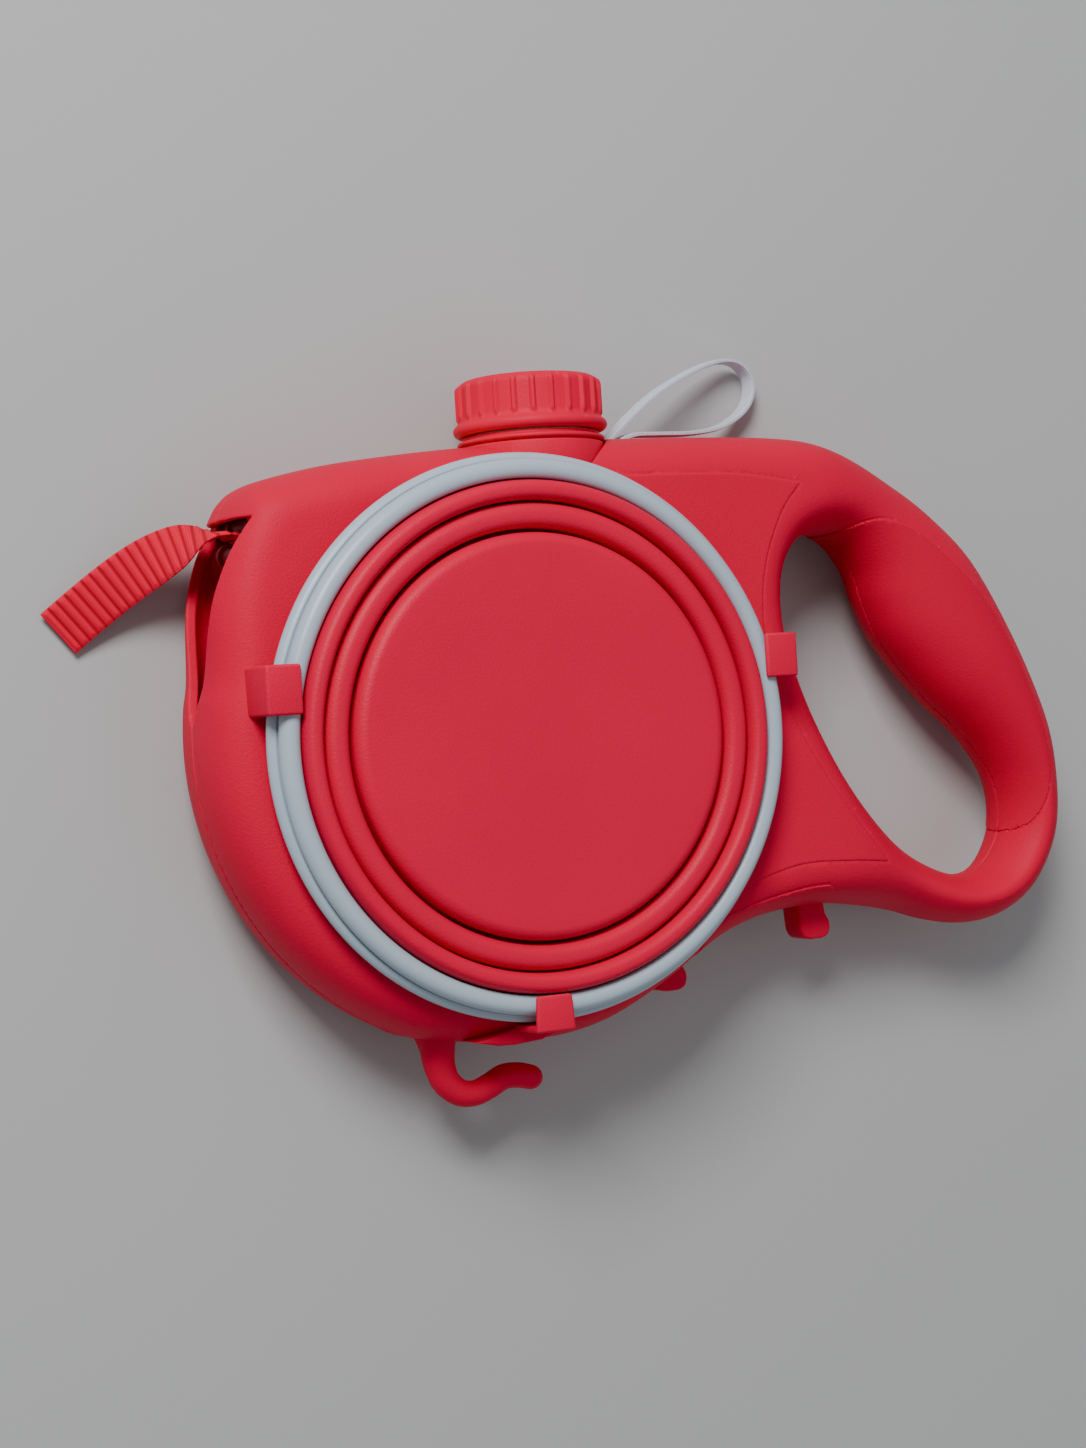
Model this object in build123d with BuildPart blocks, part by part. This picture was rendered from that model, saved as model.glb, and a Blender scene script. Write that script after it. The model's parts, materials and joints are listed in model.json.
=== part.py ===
"""Retractable leash with a built-in water bottle and a collapsible bowl.

The leash lies on its flat back: Z = 0 is the resting plane, the Z axis is the bowl's
axis, +X points at the hand grip and +Y at the bottle's cap. Sizes are millimetres.
"""
import os
from math import cos, radians, sin, tan

from build123d import *

os.makedirs("parts", exist_ok=True)

# ---------------------------------------------------------------- driving dimensions
CASE_T = 35.0            # casing thickness
MID = CASE_T / 2         # parting plane
WALL = 3.0
EDGE = 11.0              # rounding of the casing's edges
CAVITY_STEPS = [(9.5, 3.0), (5.0, 6.0), (3.0, 9.5)]  # inset from the outline, height
SEAT_TOP = CASE_T + 1.3  # round pad that the bowl lies on
SEAT_R = 61.0

BOWL_BOTTOM = 36.7
BOWL_R = 65.0            # outside of the rim's lower bead
RIM_IN_R = 58.7
RIM_TOP = 44.0
FOLD_GAP = 0.3           # between the bowl's telescoping rings
BASE_R = 46.1
BASE_TOP = 45.5

CLIP_TOP = 46.0
CLIP_WALL_IN = 65.5      # the side clips' straight inner wall, from the bowl's axis
CLIP_WALL_OUT = 67.5
CLIP_REACH = 58.7        # how near the clips' lips come to the bowl's axis

CAP_X, CAP_Z = 13.6, 18.2  # the bottle neck's axis runs along Y at this X and height
CAP_R = 17.4
CAP_FLANGE_R = 18.15
CAP_TOP = 84.3
CAP_LOW = 71.0
NECK_R = 14.0
NECK_TOP = 82.0
COLLAR_R = 17.3
CAP_RIBS = 24

SPOOL_X, SPOOL_Y = -8.0, -14.0
FLANGE_R = 44.0
HUB_R = 20.0
COIL_R = 39.7
TAPE_W = 12.0
TAPE_T = 1.2
AXLE_R = 3.0
RUN_FIT = 0.05           # radial running clearance of the spool on its axle
NOTCHES = 24

TRIGGER_WINDOW = ((68.0, 19.7, 10.5), (82.0, 32.3, 16.9))
LANYARD_POCKET = ((32.6, 67.6, 14.6), (39.0, 71.0, 20.4))  # where the loop's ends sit

SCREWS = [               # x, y, height of the head's outer face
    (-57.0, -28.0, 3.0),
    (48.0, -42.0, 3.0),
    (-52.0, 30.0, 3.0),
    (86.0, 57.0, 3.0),
    (91.0, -33.0, 3.0),
    (119.9, 29.0, 6.5),
    (148.3, -16.0, 10.0),
]

# centre line of the hand grip: x, y, heading in degrees, half width, half height
GRIP = [
    (80.0, 57.0, 0.0, 11.0, 13.0),
    (91.5, 56.0, -10.0, 12.0, 14.0),
    (104.5, 49.7, -35.0, 11.3, 14.5),
    (111.9, 39.8, -44.0, 14.0, 15.0),
    (119.9, 29.0, -51.0, 16.0, 15.5),
    (129.5, 15.5, -63.0, 15.2, 15.2),
    (140.7, 0.0, -69.0, 11.8, 14.0),
    (147.2, -10.7, -79.0, 9.4, 12.5),
    (149.3, -22.6, -92.0, 8.0, 11.5),
    (146.2, -35.5, -116.0, 7.4, 11.0),
    (138.8, -44.8, -145.0, 6.8, 10.5),
    (126.3, -48.2, -181.0, 6.3, 10.5),
    (116.0, -45.6, -194.0, 6.9, 11.0),
    (106.5, -41.2, -202.0, 8.6, 12.0),
    (95.0, -36.5, -204.0, 9.5, 13.0),
]


def body_outline():
    """The casing's outline without the grip, as a rounded polygon."""
    corners = [
        (-74.0, -71.0, 72.5),
        (23.2, -71.0, 80.0),
        (60.5, -46.2, 60.0),
        (106.6, -47.8, 11.2),
        (106.6, -31.6, 11.2),
        (87.0, -7.0, 100.0),
        (75.0, 18.0, 60.0),
        (75.6, 44.0, 8.0),
        (100.5, 44.0, 12.5),
        (100.5, 70.0, 12.5),
        (-12.0, 68.6, 150.0),
        (-65.0, 60.3, 11.6),
        (-74.0, 22.0, 60.0),
    ]
    points = [(x, y) for x, y, _ in corners]
    radii = [radius for _, _, radius in corners]
    FilletPolyline(*points, radius=radii, close=True)


def grip_sections(inset):
    """Ellipses across the grip, drawn in by the same amount all round."""
    sections = []
    for x, y, heading, half_w, half_h in GRIP:
        turn = radians(heading)
        across = (sin(turn), -cos(turn), 0)
        along = (cos(turn), sin(turn), 0)
        with BuildSketch(Plane(origin=(x, y, MID), x_dir=across, z_dir=along)) as section:
            Ellipse(half_w - inset, half_h - inset)
        sections.append(section.sketch)
    return sections


def disc(x, y, low, high, radius, mode=Mode.ADD):
    """An upright cylinder between two heights."""
    with Locations((x, y, low)):
        Cylinder(radius, high - low, align=(Align.CENTER, Align.CENTER, Align.MIN), mode=mode)


def neck_disc(low, high, radius, mode=Mode.ADD):
    """A cylinder on the bottle neck's axis between two Y values."""
    with Locations(Location((CAP_X, low, CAP_Z), (-90, 0, 0))):
        Cylinder(radius, high - low, align=(Align.CENTER, Align.CENTER, Align.MIN), mode=mode)


def block(low, high, mode=Mode.ADD):
    """A box between two corners."""
    size = [b - a for a, b in zip(low, high)]
    with Locations(low):
        Box(*size, align=(Align.MIN, Align.MIN, Align.MIN), mode=mode)


# ---------------------------------------------------------------- casing envelope
with BuildPart() as body_slab:
    with BuildSketch():
        with BuildLine():
            body_outline()
        make_face()
    extrude(amount=CASE_T)
    rims = body_slab.faces().filter_by(Axis.Z).edges()
    fillet(rims, EDGE)

with BuildPart() as grip_outer:
    loft(grip_sections(0))

with BuildPart() as grip_under_pad:
    loft(grip_sections(1.8))

with BuildPart() as grip_inner:
    loft(grip_sections(3.6))

with BuildPart() as cavity:
    for inset, low in CAVITY_STEPS:
        with BuildSketch(Plane.XY.offset(low)):
            with BuildLine():
                body_outline()
            make_face()
            offset(amount=-inset, kind=Kind.INTERSECTION)
        extrude(amount=CASE_T - 2 * low)

with BuildPart() as envelope:
    add(body_slab.part)
    add(grip_outer.part)

with BuildPart() as hollow:
    add(cavity.part)
    add(grip_inner.part)


def save(piece, name):
    """Label a finished sub-part and write it as its own STEP file."""
    piece.label = name
    export_step(piece, f"parts/{name}.step")


def pad_outline():
    """The finger side of the grip, where the soft pad sits."""
    edge = Spline(
        (96.0, 46.6),
        (103.0, 48.2),
        (111.4, 45.4),
        (121.0, 38.3),
        (131.4, 28.3),
        (140.5, 14.0),
        (147.3, -4.0),
        (149.3, -16.0),
        (147.0, -25.5),
        (142.5, -31.0),
    )
    Polyline(edge @ 1, (132.0, -33.4), (112.0, -8.0), (90.0, 36.0), edge @ 0)


def panel_outline():
    """The saddle-shaped panel beside the bowl, its inner side closed by straight lines."""
    top = Spline((18.0, 59.6), (50.0, 60.0), (77.0, 57.4))
    waist = Spline(
        top @ 1,
        (70.9, 49.5),
        (65.6, 36.3),
        (64.5, 22.0),
        (68.8, 5.0),
        (80.3, -15.0),
        (96.0, -35.6),
    )
    low = Spline(waist @ 1, (84.6, -34.8), (68.0, -35.0), (50.0, -41.5))
    Polyline(low @ 1, (40.0, 10.0), top @ 0)


# ---------------------------------------------------------------- recesses in the casing
with BuildPart() as pad_region:
    with BuildSketch(Plane.XY.offset(-1)):
        with BuildLine():
            pad_outline()
        make_face()
    extrude(amount=CASE_T + 2)

with BuildPart() as grip_skin:
    add(grip_outer.part)
    add(grip_under_pad.part, mode=Mode.SUBTRACT)
    add(pad_region.part, mode=Mode.INTERSECT)
    add(body_slab.part, mode=Mode.SUBTRACT)

with BuildPart() as panel_plate:
    with BuildSketch(Plane.XY.offset(CASE_T - 1.2)):
        with BuildLine():
            panel_outline()
        make_face()
        Circle(SEAT_R + 1.2, mode=Mode.SUBTRACT)
    extrude(amount=1.5)

with BuildPart() as slot_cut:
    with BuildSketch(Plane.YZ.offset(-80)):
        with BuildLine():
            Polyline(
                (52.0, MID - 10.6),
                (52.0, MID + 10.6),
                (15.0, MID + 4.0),
                (10.5, MID),
                (15.0, MID - 4.0),
                close=True,
            )
        make_face()
        fillet(vertices(), 1.5)
    extrude(amount=18.0)

with BuildPart() as bosses:
    for x, y, _ in SCREWS:
        disc(x, y, 0, CASE_T, 4.0)
    add(hollow.part, mode=Mode.INTERSECT)

with BuildPart() as axle_bosses:
    disc(SPOOL_X, SPOOL_Y, 2, 8.8, 5.5)
    disc(SPOOL_X, SPOOL_Y, 27.6, CASE_T - 2, 5.5)

with BuildPart() as casing:
    add(envelope.part)
    add(hollow.part, mode=Mode.SUBTRACT)
    add(bosses.part)
    add(axle_bosses.part)
    disc(0, 0, CASE_T - 0.5, SEAT_TOP, SEAT_R)
    add(grip_skin.part, mode=Mode.SUBTRACT)
    add(panel_plate.part, mode=Mode.SUBTRACT)
    add(slot_cut.part, mode=Mode.SUBTRACT)
    disc(SPOOL_X, SPOOL_Y, 3.5, 31.5, AXLE_R, mode=Mode.SUBTRACT)
    neck_disc(50, 62, NECK_R + 0.3, mode=Mode.SUBTRACT)
    neck_disc(62, 80, COLLAR_R, mode=Mode.SUBTRACT)
    block(*TRIGGER_WINDOW, mode=Mode.SUBTRACT)
    block(*LANYARD_POCKET, mode=Mode.SUBTRACT)
    for x, y, head_low in SCREWS:
        disc(x, y, -1, head_low + 1.8, 2.9, mode=Mode.SUBTRACT)
        disc(x, y, head_low, 26, 1.3, mode=Mode.SUBTRACT)

with BuildPart() as front_shell:
    add(casing.part)
    split(bisect_by=Plane.XY.offset(MID), keep=Keep.TOP)
save(front_shell.part, "front_shell")

with BuildPart() as back_shell:
    add(casing.part)
    split(bisect_by=Plane.XY.offset(MID), keep=Keep.BOTTOM)
save(back_shell.part, "back_shell")

save(panel_plate.part, "side_panel")

with BuildPart() as grip_pad_front:
    add(grip_skin.part)
    split(bisect_by=Plane.XY.offset(MID), keep=Keep.TOP)
save(grip_pad_front.part, "grip_pad_front")

with BuildPart() as grip_pad_back:
    add(grip_skin.part)
    split(bisect_by=Plane.XY.offset(MID), keep=Keep.BOTTOM)
save(grip_pad_back.part, "grip_pad_back")

with BuildPart() as screws:
    for x, y, head_low in SCREWS:
        disc(x, y, head_low, head_low + 1.6, 2.7)
        disc(x, y, head_low, 24, 1.3)
save(screws.part, "screws")

# ---------------------------------------------------------------- clips, hook and pegs
def clip_profile():
    """A side clip's section: foot, upright wall and the lip over the rim."""
    Polyline(
        (CLIP_WALL_OUT, CASE_T - 4.0),
        (CLIP_WALL_OUT, CLIP_TOP - 1.5),
        (CLIP_WALL_OUT - 1.5, CLIP_TOP),
        (CLIP_REACH, CLIP_TOP),
        (CLIP_REACH, RIM_TOP + 0.4),
        (CLIP_WALL_IN, RIM_TOP + 0.4),
        (CLIP_WALL_IN, CASE_T - 4.0),
        close=True,
    )


with BuildPart() as clip_right:
    with BuildSketch(Plane(origin=(0, 20.7, 0), x_dir=(1, 0, 0), z_dir=(0, -1, 0))):
        with BuildLine():
            clip_profile()
        make_face()
    extrude(amount=10.4)
    add(envelope.part, mode=Mode.SUBTRACT)
    add(panel_plate.part, mode=Mode.SUBTRACT)
save(clip_right.part, "clip_right")

with BuildPart() as clip_left:
    with BuildSketch(Plane(origin=(0, 7.8, 0), x_dir=(-1, 0, 0), z_dir=(0, 1, 0))):
        with BuildLine():
            clip_profile()
        make_face()
    extrude(amount=11.0)
    add(envelope.part, mode=Mode.SUBTRACT)
save(clip_left.part, "clip_left")

with BuildPart() as clip_bottom:
    with BuildSketch(Plane(origin=(2.5, 0, 0), x_dir=(0, -1, 0), z_dir=(-1, 0, 0))):
        with BuildLine():
            clip_profile()
        make_face()
    extrude(amount=11.0)
    block((-16.0, -CLIP_WALL_OUT, CASE_T - 4.0), (-8.5, -CLIP_WALL_IN, CASE_T + 2.5))
    add(envelope.part, mode=Mode.SUBTRACT)
save(clip_bottom.part, "clip_bottom")

with BuildPart() as bag_hook:
    with BuildLine(Plane.XY.offset(MID)) as hook_line:
        FilletPolyline(
            (-19.8, -64.0),
            (-19.8, -76.0),
            (-12.5, -84.0),
            (-3.5, -79.0),
            (3.3, -79.7),
            radius=[6.0, 4.5, 4.5],
        )
    with BuildSketch(Plane(origin=(-19.8, -64.0, MID), z_dir=(0, -1, 0))):
        Circle(3.3)
    sweep()
    with Locations((3.3, -79.7, MID)):
        Sphere(3.3)
    with Locations(Location((-19.8, -66.0, MID), (90, 0, 0))):
        Cone(6.5, 3.3, 9.0, align=(Align.CENTER, Align.CENTER, Align.MIN))
    add(envelope.part, mode=Mode.SUBTRACT)
save(bag_hook.part, "bag_hook")


def peg(root, tip):
    """A flat accessory peg that stands out of the lower edge, with a toe to the right."""
    with BuildPart() as tongue:
        with BuildSketch(Plane.XY.offset(MID - 4.0)):
            with BuildLine():
                Polyline(
                    (tip[0] - 8.0, root),
                    (tip[0] - 7.2, tip[1]),
                    (tip[0] + 0.8, tip[1]),
                    (tip[0] + 1.6, tip[1] + 5.0),
                    (tip[0], tip[1] + 7.0),
                    (tip[0], root),
                    close=True,
                )
            make_face()
            fillet(vertices().sort_by(Axis.Y)[:4], 1.6)
        extrude(amount=8.0)
        add(envelope.part, mode=Mode.SUBTRACT)
    return tongue.part


with BuildPart() as peg_outer:
    add(peg(-43.0, (84.7, -54.2)))
save(peg_outer.part, "peg_outer")

with BuildPart() as peg_inner:
    add(peg(-52.0, (43.5, -63.0)))
save(peg_inner.part, "peg_inner")

# ---------------------------------------------------------------- collapsible bowl
with BuildPart() as bowl_rim:
    with BuildSketch(Plane.XZ):
        with Locations((BOWL_R - 1.8, 38.5)):
            Circle(1.8)
        with Locations((60.7, RIM_TOP - 1.9)):
            Circle(1.9)
        with BuildLine():
            Polyline(
                (RIM_IN_R, BOWL_BOTTOM),
                (BOWL_R - 1.8, BOWL_BOTTOM),
                (BOWL_R - 0.9, 40.0),
                (62.2, 40.8),
                (60.7, RIM_TOP),
                (RIM_IN_R, RIM_TOP - 1.2),
                close=True,
            )
        make_face()
    revolve(axis=Axis.Z)
save(bowl_rim.part, "bowl_rim")


def fold_ring(inner, outer, crest_top):
    """One telescoping ring of the bowl's wall, with a rounded crest."""
    with BuildPart() as ring:
        with BuildSketch(Plane.XZ):
            with BuildLine():
                crest = ThreePointArc(
                    (inner, crest_top - 2.6),
                    ((inner + outer) / 2, crest_top),
                    (outer, crest_top - 2.6),
                )
                Polyline(crest @ 1, (outer, BOWL_BOTTOM), (inner, BOWL_BOTTOM), crest @ 0)
            make_face()
        revolve(axis=Axis.Z)
    return ring.part


VALLEY_R = 53.2
with BuildPart() as bowl_fold_outer:
    add(fold_ring(VALLEY_R, RIM_IN_R - FOLD_GAP, RIM_TOP + 1.9))
save(bowl_fold_outer.part, "bowl_fold_outer")

with BuildPart() as bowl_fold_inner:
    add(fold_ring(BASE_R + 0.8, VALLEY_R - FOLD_GAP, RIM_TOP + 0.4))
save(bowl_fold_inner.part, "bowl_fold_inner")

with BuildPart() as bowl_base:
    disc(0, 0, BOWL_BOTTOM, BASE_TOP, BASE_R)
    fillet(bowl_base.faces().sort_by(Axis.Z)[-1].edges(), 2.6)
    disc(0, 0, BOWL_BOTTOM, BASE_TOP - 3.0, BASE_R - 3.0, mode=Mode.SUBTRACT)
save(bowl_base.part, "bowl_base")

# ---------------------------------------------------------------- bottle, neck and cap
BOTTLE_LOW, BOTTLE_HIGH = 6.2, 28.8


def bottle_outline():
    FilletPolyline(
        (-38.0, 46.5),
        (-12.0, 37.0),
        (68.0, 36.0),
        (70.0, 47.0),
        (70.0, 64.3),
        (-10.0, 62.8),
        (-38.0, 58.0),
        radius=4.5,
        close=True,
    )


with BuildPart() as bottle:
    with BuildSketch(Plane.XY.offset(BOTTLE_LOW)):
        with BuildLine():
            bottle_outline()
        make_face()
    extrude(amount=BOTTLE_HIGH - BOTTLE_LOW)
    neck_disc(58, NECK_TOP, NECK_R)
    for low in (75.5, 78.5):
        neck_disc(low, low + 1.0, NECK_R + 0.7)
    with BuildSketch(Plane.XY.offset(BOTTLE_LOW + 1.6)):
        with BuildLine():
            bottle_outline()
        make_face()
        offset(amount=-1.6)
    extrude(amount=BOTTLE_HIGH - BOTTLE_LOW - 3.2, mode=Mode.SUBTRACT)
    neck_disc(56, NECK_TOP, NECK_R - 2.4, mode=Mode.SUBTRACT)
    for x, y, _ in SCREWS:
        disc(x, y, 0, CASE_T, 4.6, mode=Mode.SUBTRACT)
save(bottle.part, "bottle")

with BuildPart() as neck_collar:
    neck_disc(62, 70.4, COLLAR_R)
    neck_disc(69.2, 70.4, COLLAR_R + 0.5)
    neck_disc(60, 80, NECK_R + 0.3, mode=Mode.SUBTRACT)
    add(hollow.part, mode=Mode.SUBTRACT)
    block((29.5, 67.9, MID - 3), (LANYARD_POCKET[0][0], 70.4, MID + 3))
    neck_disc(60, 80, NECK_R + 0.3, mode=Mode.SUBTRACT)
    add(casing.part, mode=Mode.SUBTRACT)
save(neck_collar.part, "neck_collar")

with BuildPart() as cap_seal:
    neck_disc(NECK_TOP + 0.1, NECK_TOP + 1.1, NECK_R + 0.4)
save(cap_seal.part, "cap_seal")

CAP_INNER_R = NECK_R + 1.1
CAP_BODY_R = CAP_R - 0.6
RIB_LOW = 75.0
with BuildPart() as cap:
    with BuildSketch(Plane.XY.offset(CAP_Z)):
        with BuildLine():
            Polyline(
                (CAP_X, CAP_TOP),
                (CAP_X + CAP_BODY_R - 2.4, CAP_TOP),
                (CAP_X + CAP_BODY_R, CAP_TOP - 2.4),
                (CAP_X + CAP_BODY_R, RIB_LOW),
                (CAP_X + CAP_FLANGE_R, RIB_LOW - 1.6),
                (CAP_X + CAP_FLANGE_R, CAP_LOW + 0.8),
                (CAP_X + CAP_FLANGE_R - 0.8, CAP_LOW),
                (CAP_X + CAP_INNER_R, CAP_LOW),
                (CAP_X + CAP_INNER_R, NECK_TOP + 1.2),
                (CAP_X, NECK_TOP + 1.2),
                close=True,
            )
        make_face()
    revolve(axis=Axis((CAP_X, 0, CAP_Z), (0, 1, 0)))
    with BuildSketch(Plane(origin=(CAP_X, RIB_LOW - 0.4, CAP_Z), x_dir=(1, 0, 0), z_dir=(0, 1, 0))):
        with PolarLocations(CAP_R - 0.9, CAP_RIBS):
            Circle(0.9)
    extrude(amount=CAP_TOP - 2.6 - RIB_LOW)
save(cap.part, "cap")

# ---------------------------------------------------------------- spool, spring and tape
SPOOL_LOW, SPOOL_HIGH = 9.9, 25.1
FLANGE_T = 1.3

with BuildPart() as spool_hub:
    disc(SPOOL_X, SPOOL_Y, SPOOL_LOW, SPOOL_LOW + FLANGE_T, FLANGE_R)
    disc(SPOOL_X, SPOOL_Y, SPOOL_LOW, SPOOL_HIGH - FLANGE_T, HUB_R)
    disc(SPOOL_X, SPOOL_Y, SPOOL_LOW + FLANGE_T, SPOOL_HIGH, HUB_R - 2.0, mode=Mode.SUBTRACT)
    disc(SPOOL_X, SPOOL_Y, SPOOL_LOW, SPOOL_LOW + 4.0, 5.0)
    disc(SPOOL_X, SPOOL_Y, 0, CASE_T, AXLE_R + RUN_FIT, mode=Mode.SUBTRACT)
save(spool_hub.part, "spool_hub")

with BuildPart() as spool_flange:
    disc(SPOOL_X, SPOOL_Y, SPOOL_HIGH - FLANGE_T, SPOOL_HIGH, FLANGE_R)
    disc(SPOOL_X, SPOOL_Y, 0, CASE_T, AXLE_R + RUN_FIT, mode=Mode.SUBTRACT)
    with Locations((SPOOL_X, SPOOL_Y, SPOOL_HIGH - FLANGE_T)):
        with PolarLocations(FLANGE_R, NOTCHES, start_angle=7.5):
            Box(6.0, 8.0, 4.0, mode=Mode.SUBTRACT)
save(spool_flange.part, "spool_flange")

SPRING_T = 0.5
SPRING_PITCH = 1.5
SPRING_TURNS = 7


def half_ring(radius, side):
    """Half a turn of the power spring, below or above the spool's centre line."""
    with BuildSketch() as turn:
        Circle(radius + SPRING_T / 2)
        Circle(radius - SPRING_T / 2, mode=Mode.SUBTRACT)
        with Locations((0, (2 * side - 1) * 30)):
            Rectangle(60, 60, mode=Mode.SUBTRACT)
    return turn.sketch


with BuildPart() as power_spring:
    with BuildSketch(Plane.XY.offset(12.5)):
        for half_turn in range(2 * SPRING_TURNS):
            side = half_turn % 2
            with Locations((SPOOL_X + side * SPRING_PITCH / 2, SPOOL_Y)):
                add(half_ring(6.0 + half_turn * SPRING_PITCH / 2, side))
    extrude(amount=10.0)
save(power_spring.part, "power_spring")

with BuildPart() as spool_axle:
    disc(SPOOL_X, SPOOL_Y, 3.5, 31.5, AXLE_R)
save(spool_axle.part, "spool_axle")

with BuildPart() as axle_clip:
    disc(SPOOL_X, SPOOL_Y, SPOOL_HIGH + 0.3, SPOOL_HIGH + 1.1, 5.2)
    disc(SPOOL_X, SPOOL_Y, 0, CASE_T, AXLE_R, mode=Mode.SUBTRACT)
save(axle_clip.part, "axle_clip")

with BuildPart() as tape_coil:
    disc(SPOOL_X, SPOOL_Y, MID - TAPE_W / 2, MID + TAPE_W / 2, COIL_R)
    disc(SPOOL_X, SPOOL_Y, 0, CASE_T, HUB_R, mode=Mode.SUBTRACT)
save(tape_coil.part, "tape_coil")

# route of the tape: x, y, z and how far its width has turned from upright, in degrees
TAPE_ROUTE = [
    (6.1, 24.1, 17.5, 0),
    (-30.0, 37.4, 17.5, 0),
    (-61.5, 49.1, 17.5, 0),
    (-67.5, 49.7, 16.8, 10),
    (-73.0, 47.7, 13.9, 48),
    (-80.5, 43.5, 8.9, 75),
    (-89.5, 37.0, 4.2, 87),
    (-98.6, 29.4, 1.4, 90),
]


def tape_directions():
    """The tape's travel at each point of its route."""
    points = [Vector(x, y, z) for x, y, z, _ in TAPE_ROUTE]
    last = len(points) - 1
    return [(points[min(i + 1, last)] - points[max(i - 1, 0)]).normalized() for i in range(last + 1)]


with BuildPart() as leash_tape:
    tape_sections = []
    for (x, y, z, turn), along in zip(TAPE_ROUTE, tape_directions()):
        level = Vector(0, 0, 1).cross(along).normalized()
        upright = along.cross(level)
        width_way = upright * cos(radians(turn)) + level * sin(radians(turn))
        with BuildSketch(Plane(origin=(x, y, z), x_dir=width_way, z_dir=along)) as section:
            Rectangle(TAPE_W, TAPE_T)
        tape_sections.append(section.sketch)
    loft(tape_sections, ruled=True)
save(leash_tape.part, "leash_tape")

with BuildPart() as tape_guide:
    for x, y in ((-57.6, 51.1), (-60.2, 44.8)):
        disc(x, y, 4, CASE_T - 4, 2.0)
        disc(x, y, 9, 10.5, 3.0)
        disc(x, y, 24.5, 26, 3.0)
    add(casing.part, mode=Mode.SUBTRACT)
save(tape_guide.part, "tape_guide")

with BuildPart() as slot_liner:
    with BuildSketch(Plane.XY.offset(7.0)):
        with Locations((-1.0, 1.5)):
            Circle(67.4)
            Circle(66.0, mode=Mode.SUBTRACT)
        with BuildLine():
            Polyline((-1.0, 1.5), (-100.0, 4.0), (-100.0, 52.0), close=True)
        make_face(mode=Mode.INTERSECT)
    extrude(amount=21.0)
save(slot_liner.part, "slot_liner")

# ---------------------------------------------------------------- lanyard loop
LANYARD_SLOPE = 16.8
LANYARD_W = 4.0
LANYARD_T = 1.2
LANYARD = [
    (-0.4, 69.3),
    (11.5, 78.9),
    (26.0, 86.2),
    (38.5, 90.9),
    (47.5, 91.4),
    (52.6, 86.6),
    (50.5, 79.8),
    (41.0, 74.4),
    (30.0, 72.4),
    (16.0, 71.8),
    (6.0, 71.3),
    (1.6, 68.6),
]
slope = radians(LANYARD_SLOPE)
lanyard_plane = Plane(
    origin=(34.0, 0, MID),
    x_dir=(cos(slope), 0, -sin(slope)),
    z_dir=(sin(slope), 0, cos(slope)),
)


def corner_radii(points):
    """The largest tangent arc at each corner: 0.45 of the shorter run beside it."""
    radii = []
    for before, here, after in zip(points, points[1:], points[2:]):
        run_in = Vector(*here) - Vector(*before)
        run_out = Vector(*after) - Vector(*here)
        half_turn = radians(run_in.get_angle(run_out)) / 2
        radii.append(0.45 * min(run_in.length, run_out.length) / tan(half_turn))
    return radii


with BuildPart() as lanyard_loop:
    with BuildLine(lanyard_plane):
        lanyard_line = FilletPolyline(*LANYARD, radius=corner_radii(LANYARD))
    with BuildSketch(Plane(origin=lanyard_line @ 0, x_dir=lanyard_plane.z_dir, z_dir=lanyard_line % 0)):
        Rectangle(LANYARD_W, LANYARD_T)
    sweep()
save(lanyard_loop.part, "lanyard_loop")

# ---------------------------------------------------------------- brake
with BuildPart() as brake_trigger:
    block((71.0, 20.0, 10.8), (78.2, 32.0, 16.6))
    fillet(brake_trigger.faces().sort_by(Axis.X)[-1].edges(), 2.0)
    block((70.4, 18.5, 9.8), (71.8, 33.5, 25.4))
save(brake_trigger.part, "brake_trigger")

with BuildPart() as brake_pawl:
    block((22.0, 19.0, 22.9), (70.4, 23.0, 25.4))
    tip_edges = brake_pawl.faces().sort_by(Axis.X)[0].edges().filter_by(Axis.Z)
    chamfer(tip_edges.sort_by(Axis.Y)[-1], 2.0)
save(brake_pawl.part, "brake_pawl")

with BuildPart() as trigger_spring:
    with BuildLine() as spring_line:
        Helix(pitch=1.6, height=8.0, radius=2.8, center=(69.8, 28.5, MID), direction=(-1, 0, 0))
    with BuildSketch(Plane(origin=spring_line.line @ 0, z_dir=spring_line.line % 0)):
        Circle(0.4)
    sweep(is_frenet=True)
save(trigger_spring.part, "trigger_spring")
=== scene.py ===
"""Looks of the retractable leash: casing, pads, bowl, cap, clips, hook, strap and lanyard.

Lengths are millimetres in the model's own frame, and MM turns them into Blender's metres.
Only lights, the floor and the relief of the materials are given in metres.
"""
import json
from itertools import product
from math import cos, pi, radians, sin

import bmesh
import bpy
import numpy as np
from mathutils import Matrix, Vector


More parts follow.
